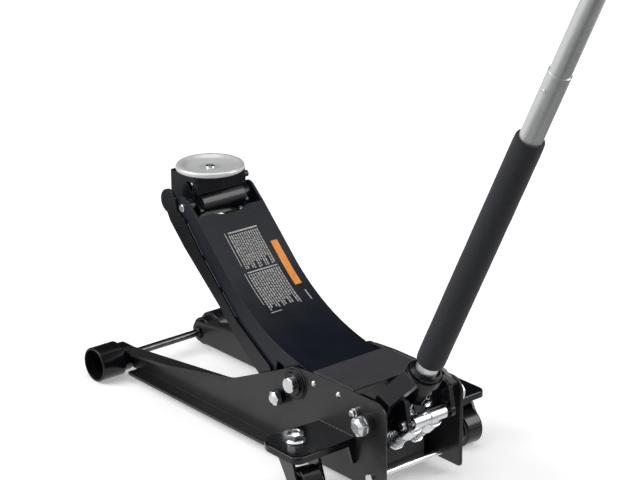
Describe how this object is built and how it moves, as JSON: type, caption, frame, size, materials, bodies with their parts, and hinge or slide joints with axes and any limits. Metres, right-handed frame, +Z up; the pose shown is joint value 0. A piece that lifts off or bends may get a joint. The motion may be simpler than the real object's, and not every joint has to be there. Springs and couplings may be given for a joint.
{
  "type": "trolley jack",
  "caption": "Low wheeled hydraulic jack: channel lift arm with a round dished saddle, flanged side plates, swivel casters and a foam-covered pump handle.",
  "frame": {"origin": "on the floor, centred under the bounding box of the jack with its handle fitted", "axes": "+X forward from the handle to the saddle, +Y to the jack's left, +Z up"},
  "size_m": [1.2696, 0.431, 1.2148],
  "materials": {
    "black_paint": "glossy black powder coat",
    "wheel_enamel": "gloss black enamel on steel",
    "bright_zinc": "bright zinc plate",
    "ground_steel": "ground and hard-plated steel",
    "saddle_zinc": "satin zinc plate",
    "tube_steel": "silver plated tube",
    "black_foam": "matte closed-cell foam",
    "unit_casting": "black painted casting",
    "spring_steel": "oiled spring wire"
  },
  "bodies": {
    "chassis": {"left_side_plate": "black_paint", "right_side_plate": "black_paint", "front_axle": "ground_steel", "wheel_spacers": "black_paint", "axle_inner_nuts": "black_paint", "axle_end_washers": "bright_zinc", "rear_tie_rod": "bright_zinc", "cover_plate": "black_paint", "cover_rivets": "bright_zinc", "lift_pivot_shaft": "ground_steel", "pivot_collars": "black_paint", "radius_rod_bolts": "bright_zinc", "radius_bolt_spacers": "black_paint", "radius_bolt_nuts": "bright_zinc", "yoke_pivot_bolts": "bright_zinc", "side_stop_bolts": "bright_zinc", "left_caster_bracket": "black_paint", "right_caster_bracket": "black_paint", "caster_king_bolts": "bright_zinc", "caster_king_nuts": "bright_zinc", "rear_cross_plate": "black_paint", "pump_block": "unit_casting", "ram_cylinder": "unit_casting", "plunger_glands": "ground_steel"},
    "lift_arm": {"lift_arm_channel": "black_paint", "left_arm_bar": "black_paint", "right_arm_bar": "black_paint", "arm_pivot_hub": "black_paint", "ram_pin": "ground_steel", "head_pin": "ground_steel"},
    "saddle_head": {"saddle_head": "black_paint", "radius_rod_pins": "bright_zinc"},
    "saddle": {"saddle": "saddle_zinc", "saddle_screw": "bright_zinc"},
    "radius_rods": {"left_radius_rod": "black_paint", "right_radius_rod": "black_paint"},
    "ram": {"ram": "ground_steel"},
    "yoke": {"pump_yoke": "black_paint", "roller_pin": "ground_steel", "roller_pin_clips": "bright_zinc"},
    "rollers": {"pump_rollers": "ground_steel"},
    "handle": {"handle_receiver": "black_paint", "handle_set_bolt": "bright_zinc", "handle_lower_tube": "tube_steel", "foam_sleeve": "black_foam", "handle_upper_tube": "tube_steel", "handle_drive_rod": "ground_steel"},
    "snap_button": {"handle_snap_button": "bright_zinc"},
    "release_valve": {"release_valve_stem": "ground_steel"},
    "plungers": {"left_plunger": "ground_steel", "right_plunger": "ground_steel", "pump_springs": "spring_steel"},
    "left_front_wheel": {"left_front_wheel": "wheel_enamel"},
    "right_front_wheel": {"right_front_wheel": "wheel_enamel"},
    "left_caster": {"left_caster_fork": "black_paint", "left_caster_axle": "bright_zinc"},
    "right_caster": {"right_caster_fork": "black_paint", "right_caster_axle": "bright_zinc"},
    "left_caster_wheel": {"left_caster_wheel": "wheel_enamel"},
    "right_caster_wheel": {"right_caster_wheel": "wheel_enamel"}
  },
  "joints": [
    {"name": "lift_arm_pivot", "type": "hinge", "parent": "chassis", "child": "lift_arm", "pos_m": [0.10181, 0, 0.141], "axis": [0, -1, 0], "range_deg": [-46, 14.5]},
    {"name": "saddle_head_level", "type": "hinge", "parent": "lift_arm", "child": "saddle_head", "pos_m": [0.42681, 0, 0.369], "axis": [0, -1, 0], "range_deg": [-14.5, 46]},
    {"name": "saddle_spin", "type": "hinge", "parent": "saddle_head", "child": "saddle", "pos_m": [0.44381, 0, 0.43], "axis": [0, 0, 1], "continuous": true},
    {"name": "radius_rods_pivot", "type": "hinge", "parent": "chassis", "child": "radius_rods", "pos_m": [0.13781, 0, 0.106], "axis": [0, -1, 0], "range_deg": [-46, 14.5]},
    {"name": "ram_stroke", "type": "slide", "parent": "chassis", "child": "ram", "axis": [1, 0, 0], "range_m": [-0.046, 0.0146]},
    {"name": "yoke_pivot", "type": "hinge", "parent": "chassis", "child": "yoke", "pos_m": [-0.08919, 0, 0.133], "axis": [0, -1, 0], "range_deg": [-10, 45]},
    {"name": "roller_spin", "type": "hinge", "parent": "yoke", "child": "rollers", "pos_m": [-0.13419, 0, 0.133], "axis": [0, 1, 0], "continuous": true},
    {"name": "plunger_stroke", "type": "slide", "parent": "chassis", "child": "plungers", "axis": [0.7071, 0, -0.7071], "range_m": [-0.0072, 0.0319], "deforming": ["pump_springs"]},
    {"name": "handle_twist", "type": "hinge", "parent": "yoke", "child": "handle", "pos_m": [-0.08919, 0, 0.133], "axis": [-0.4431, 0, 0.8965], "range_deg": [0, 90]},
    {"name": "release_valve_turn", "type": "hinge", "parent": "chassis", "child": "release_valve", "pos_m": [-0.08919, 0, 0.133], "axis": [-0.7071, 0, 0.7071], "range_deg": [0, 90]},
    {"name": "snap_button_press", "type": "slide", "parent": "handle", "child": "snap_button", "axis": [0, -1, 0], "range_m": [0, 0.003]},
    {"name": "left_front_wheel_spin", "type": "hinge", "parent": "chassis", "child": "left_front_wheel", "pos_m": [0.60181, 0.137, 0.033], "axis": [0, 1, 0], "continuous": true},
    {"name": "right_front_wheel_spin", "type": "hinge", "parent": "chassis", "child": "right_front_wheel", "pos_m": [0.60181, -0.137, 0.033], "axis": [0, 1, 0], "continuous": true},
    {"name": "left_caster_swivel", "type": "hinge", "parent": "chassis", "child": "left_caster", "pos_m": [0.00181, 0.17, 0.09], "axis": [0, 0, 1], "continuous": true},
    {"name": "right_caster_swivel", "type": "hinge", "parent": "chassis", "child": "right_caster", "pos_m": [0.00181, -0.17, 0.09], "axis": [0, 0, 1], "continuous": true},
    {"name": "left_caster_wheel_spin", "type": "hinge", "parent": "left_caster", "child": "left_caster_wheel", "pos_m": [-0.04185, 0.18089, 0.033], "axis": [0.2419, 0.9703, 0], "continuous": true},
    {"name": "right_caster_wheel_spin", "type": "hinge", "parent": "right_caster", "child": "right_caster_wheel", "pos_m": [-0.04319, -0.17, 0.033], "axis": [0, 1, 0], "continuous": true}
  ],
  "couplings": [
    {"joint": "saddle_head_level", "follows": "lift_arm_pivot", "ratio": -1},
    {"joint": "radius_rods_pivot", "follows": "lift_arm_pivot", "ratio": 1},
    {"joint": "ram_stroke", "follows": "lift_arm_pivot", "m_per_rad": 0.0572},
    {"joint": "plunger_stroke", "follows": "yoke_pivot", "m_per_rad": 0.0405},
    {"joint": "release_valve_turn", "follows": "handle_twist", "ratio": 1}
  ]
}
